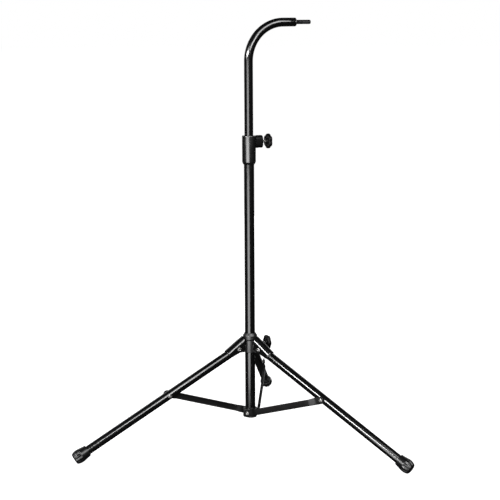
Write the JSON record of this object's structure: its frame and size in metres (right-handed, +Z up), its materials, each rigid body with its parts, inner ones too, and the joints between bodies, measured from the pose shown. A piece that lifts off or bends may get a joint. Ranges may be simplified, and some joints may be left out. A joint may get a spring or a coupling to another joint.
{
  "type": "saxophone stand",
  "caption": "Folding tripod stand with a telescoping mast and a bent-over swan-neck arm that ends in a threaded stud, for holding an instrument off the floor.",
  "frame": {"origin": "centre of the object's bounding box at floor level, with the stand open and upright on its feet", "axes": "+Z up along the mast; +X the way the swan-neck arm and both clamp knobs point; leg 1 points along -X"},
  "size_m": [0.6227, 0.7156, 0.9187],
  "materials": {
    "black_powder_coat": "semi-gloss",
    "gloss_black_plastic": "glossy",
    "matte_black_plastic": "matte",
    "black_rubber": "matte",
    "bright_steel": "zinc plated",
    "blackened_steel": "black oxide"
  },
  "bodies": {
    "base": {"lower_tube": "black_powder_coat", "bottom_hub": "matte_black_plastic", "clutch_body": "gloss_black_plastic", "clutch_nut": "bright_steel"},
    "carriage": {"guide_bush": "matte_black_plastic"},
    "arm": {"arm_tube": "black_powder_coat", "arm_end_plug": "matte_black_plastic", "arm_stud": "blackened_steel"},
    "upper_clamp": {"upper_knob": "matte_black_plastic", "upper_knob_screw": "bright_steel"},
    "collar": {"collar_body": "matte_black_plastic", "collar_ring": "gloss_black_plastic", "collar_nut": "bright_steel"},
    "lower_clamp": {"lower_knob": "matte_black_plastic", "lower_knob_screw": "bright_steel"},
    "leg_1": {"leg_tube_1": "black_powder_coat", "leg_bracket_1": "black_powder_coat", "leg_pivot_rivet_1": "bright_steel", "foot_1": "black_rubber", "strut_rivet_1": "bright_steel", "strut_spacer_1": "bright_steel"},
    "strut_1": {"strut_1": "black_powder_coat", "hub_rivet_1": "bright_steel"},
    "leg_2": {"leg_tube_2": "black_powder_coat", "leg_bracket_2": "black_powder_coat", "leg_pivot_rivet_2": "bright_steel", "foot_2": "black_rubber", "strut_rivet_2": "bright_steel", "strut_spacer_2": "bright_steel"},
    "strut_2": {"strut_2": "black_powder_coat", "hub_rivet_2": "bright_steel"},
    "leg_3": {"leg_tube_3": "black_powder_coat", "leg_bracket_3": "black_powder_coat", "leg_pivot_rivet_3": "bright_steel", "foot_3": "black_rubber", "strut_rivet_3": "bright_steel", "strut_spacer_3": "bright_steel"},
    "strut_3": {"strut_3": "black_powder_coat", "hub_rivet_3": "bright_steel"}
  },
  "joints": [
    {"name": "height_slide", "type": "slide", "parent": "base", "child": "carriage", "axis": [0, 0, 1], "range_m": [-0.15, 0.2]},
    {"name": "arm_swivel", "type": "hinge", "parent": "carriage", "child": "arm", "pos_m": [0.0988, 0, 0.5], "axis": [0, 0, 1], "continuous": true},
    {"name": "upper_knob_turn", "type": "hinge", "parent": "base", "child": "upper_clamp", "pos_m": [0.1398, 0, 0.6582], "axis": [1, 0, 0], "range_deg": [0, 720]},
    {"name": "collar_slide", "type": "slide", "parent": "base", "child": "collar", "axis": [0, 0, 1], "range_m": [0, 0.2325]},
    {"name": "lower_knob_turn", "type": "hinge", "parent": "collar", "child": "lower_clamp", "pos_m": [0.1361, 0, 0.2138], "axis": [1, 0, 0], "range_deg": [0, 720]},
    {"name": "leg_1_fold", "type": "hinge", "parent": "collar", "child": "leg_1", "pos_m": [0.0688, 0, 0.2069], "axis": [0, -1, 0], "range_deg": [0, 62.5]},
    {"name": "strut_1_fold", "type": "hinge", "parent": "leg_1", "child": "strut_1", "pos_m": [-0.09308, 0, 0.12155], "axis": [0, 1, 0], "range_deg": [0, 126.6]},
    {"name": "leg_2_fold", "type": "hinge", "parent": "collar", "child": "leg_2", "pos_m": [0.1138, -0.02598, 0.2069], "axis": [0.866, 0.5, 0], "range_deg": [0, 62.5]},
    {"name": "strut_2_fold", "type": "hinge", "parent": "leg_2", "child": "strut_2", "pos_m": [0.19474, -0.16617, 0.12155], "axis": [-0.866, -0.5, 0], "range_deg": [0, 126.6]},
    {"name": "leg_3_fold", "type": "hinge", "parent": "collar", "child": "leg_3", "pos_m": [0.1138, 0.02598, 0.2069], "axis": [-0.866, 0.5, 0], "range_deg": [0, 62.5]},
    {"name": "strut_3_fold", "type": "hinge", "parent": "leg_3", "child": "strut_3", "pos_m": [0.19474, 0.16617, 0.12155], "axis": [0.866, -0.5, 0], "range_deg": [0, 126.6]}
  ],
  "couplings": [
    {"joint": "leg_1_fold", "follows": "collar_slide", "rad_per_m": 4.6692},
    {"joint": "strut_1_fold", "follows": "collar_slide", "rad_per_m": 9.4721},
    {"joint": "leg_2_fold", "follows": "collar_slide", "rad_per_m": 4.6692},
    {"joint": "strut_2_fold", "follows": "collar_slide", "rad_per_m": 9.4721},
    {"joint": "leg_3_fold", "follows": "collar_slide", "rad_per_m": 4.6692},
    {"joint": "strut_3_fold", "follows": "collar_slide", "rad_per_m": 9.4721}
  ]
}
